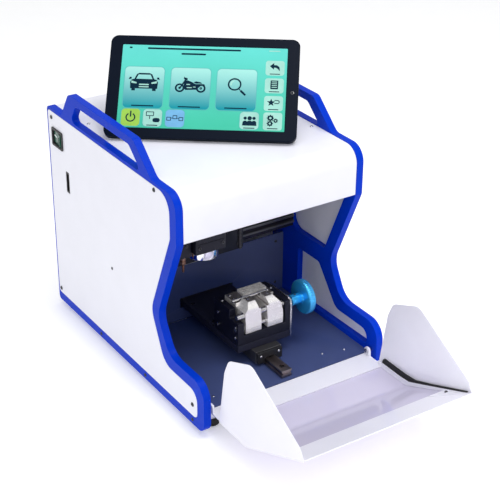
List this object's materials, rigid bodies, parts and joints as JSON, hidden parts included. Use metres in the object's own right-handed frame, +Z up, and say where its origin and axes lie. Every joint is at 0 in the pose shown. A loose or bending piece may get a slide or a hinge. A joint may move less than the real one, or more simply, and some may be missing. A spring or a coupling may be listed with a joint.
{
  "type": "key duplicating machine",
  "caption": "Bench key cutting machine with blue side frames, white hood, fold-down safety door, sliding two-jaw key clamp, milling spindle head and a swivelling tablet.",
  "frame": {"origin": "on the ground under the middle of the part's box, door folded down", "axes": "+X to the operator's right along the door hinge, +Y from the door to the back of the machine, +Z up"},
  "size_m": [0.2726, 0.5775, 0.4036],
  "materials": {
    "blue_paint": "satin powder coat",
    "white_paint": "satin powder coat",
    "navy_paint": "matt powder coat",
    "black_rubber": "matt",
    "clear_window": "smooth tinted sheet",
    "black_anodised": "black anodised, fine milled",
    "bright_steel": "ground",
    "blue_anodised": "blue anodised",
    "tablet_shell": "semi-gloss",
    "screen_glass": "glossy screen",
    "black_plastic": "fine texture",
    "green_plastic": "translucent gloss",
    "circuit_board": "solder mask",
    "zinc_plate": "zinc plated",
    "brass": "turned"
  },
  "bodies": {
    "machine": {"left_frame": "blue_paint", "right_frame": "blue_paint", "left_side_panel": "white_paint", "right_side_panel": "white_paint", "top_hood": "white_paint", "rear_panel": "white_paint", "base_plate": "white_paint", "foot_front_left": "black_rubber", "foot_front_right": "black_rubber", "foot_rear_left": "black_rubber", "foot_rear_right": "black_rubber", "chamber_floor": "navy_paint", "chamber_back_wall": "navy_paint", "y_rail": "bright_steel", "y_motor": "black_plastic", "x_beam": "black_anodised", "x_rail": "bright_steel", "x_motor": "black_plastic", "switch_bezel": "black_plastic", "side_port": "black_plastic", "power_inlet": "black_plastic", "power_supply": "zinc_plate", "control_board": "circuit_board", "hinge_pin_left": "bright_steel", "hinge_pin_right": "bright_steel", "tablet_base": "black_anodised"},
    "door": {"door_panel": "white_paint", "door_window": "clear_window", "door_cheek_left": "white_paint", "door_cheek_right": "white_paint", "door_seal_left": "black_rubber", "door_seal_right": "black_rubber"},
    "clamp_carriage": {"y_bearing_block": "bright_steel", "carriage_plate": "black_anodised", "clamp_body": "black_anodised", "clamp_end_plate": "bright_steel", "guide_rod": "bright_steel", "key_stop_bar": "bright_steel"},
    "clamp_drive": {"clamp_screw": "bright_steel", "clamp_knob": "blue_anodised"},
    "left_jaw": {"jaw_left": "bright_steel"},
    "right_jaw": {"jaw_right": "bright_steel"},
    "y_screw": {"y_lead_screw": "bright_steel"},
    "x_screw": {"x_lead_screw": "bright_steel"},
    "z_screw": {"z_lead_screw": "bright_steel"},
    "x_head": {"x_bearing_block": "zinc_plate", "x_slide_plate": "black_anodised", "z_rail": "bright_steel", "z_motor": "black_plastic"},
    "z_head": {"head_plate": "black_anodised", "spindle_housing": "black_anodised", "spindle_nose": "bright_steel", "spindle_motor": "black_plastic", "tracer_probe": "brass"},
    "spindle": {"spindle_shaft": "bright_steel", "cutter": "zinc_plate"},
    "rocker": {"power_rocker": "green_plastic"},
    "tablet": {"tablet_body": "tablet_shell", "tablet_screen": "screen_glass", "tablet_bracket": "black_anodised"}
  },
  "joints": [
    {"name": "door_hinge", "type": "hinge", "parent": "machine", "child": "door", "pos_m": [0, -0.09425, 0.036], "axis": [-1, 0, 0], "range_deg": [0, 90]},
    {"name": "clamp_y_slide", "type": "slide", "parent": "machine", "child": "clamp_carriage", "axis": [0, 1, 0], "range_m": [-0.02, 0.05]},
    {"name": "y_screw_spin", "type": "hinge", "parent": "machine", "child": "y_screw", "pos_m": [0, 0.17575, 0.074], "axis": [0, 1, 0], "range_deg": [-905, 2255]},
    {"name": "x_slide", "type": "slide", "parent": "machine", "child": "x_head", "axis": [1, 0, 0], "range_m": [-0.015, 0.095]},
    {"name": "x_screw_spin", "type": "hinge", "parent": "machine", "child": "x_screw", "pos_m": [0, 0.07375, 0.174], "axis": [1, 0, 0], "range_deg": [-680, 4280]},
    {"name": "z_slide", "type": "slide", "parent": "x_head", "child": "z_head", "axis": [0, 0, 1], "range_m": [-0.052, 0.01]},
    {"name": "z_screw_spin", "type": "hinge", "parent": "x_head", "child": "z_screw", "pos_m": [0.009, 0.04075, 0.208], "axis": [0, 0, 1], "range_deg": [-2345, 455]},
    {"name": "spindle_spin", "type": "hinge", "parent": "z_head", "child": "spindle", "pos_m": [-0.056, 0.02575, 0.208], "axis": [0, 0, 1], "continuous": true},
    {"name": "knob_spin", "type": "hinge", "parent": "clamp_carriage", "child": "clamp_drive", "pos_m": [0, -0.02325, 0.099], "axis": [1, 0, 0], "range_deg": [-241, 505]},
    {"name": "left_jaw_slide", "type": "slide", "parent": "clamp_carriage", "child": "left_jaw", "axis": [1, 0, 0], "range_m": [-0.002, 0.0042]},
    {"name": "right_jaw_slide", "type": "slide", "parent": "clamp_carriage", "child": "right_jaw", "axis": [-1, 0, 0], "range_m": [-0.002, 0.0042]},
    {"name": "rocker_press", "type": "hinge", "parent": "machine", "child": "rocker", "pos_m": [-0.1315, 0.25975, 0.2626], "axis": [0, 0, 1], "range_deg": [0, 16]},
    {"name": "tablet_swivel", "type": "hinge", "parent": "machine", "child": "tablet", "pos_m": [-0.0012, 0.11195, 0.305], "axis": [0, 0, 1], "range_deg": [-20, 0]}
  ],
  "couplings": [
    {"joint": "y_screw_spin", "follows": "clamp_y_slide", "rad_per_m": 785.4},
    {"joint": "x_screw_spin", "follows": "x_slide", "rad_per_m": 785.4},
    {"joint": "z_screw_spin", "follows": "z_slide", "rad_per_m": 785.4},
    {"joint": "knob_spin", "follows": "left_jaw_slide", "rad_per_m": 2094.4},
    {"joint": "right_jaw_slide", "follows": "left_jaw_slide", "ratio": 1}
  ]
}
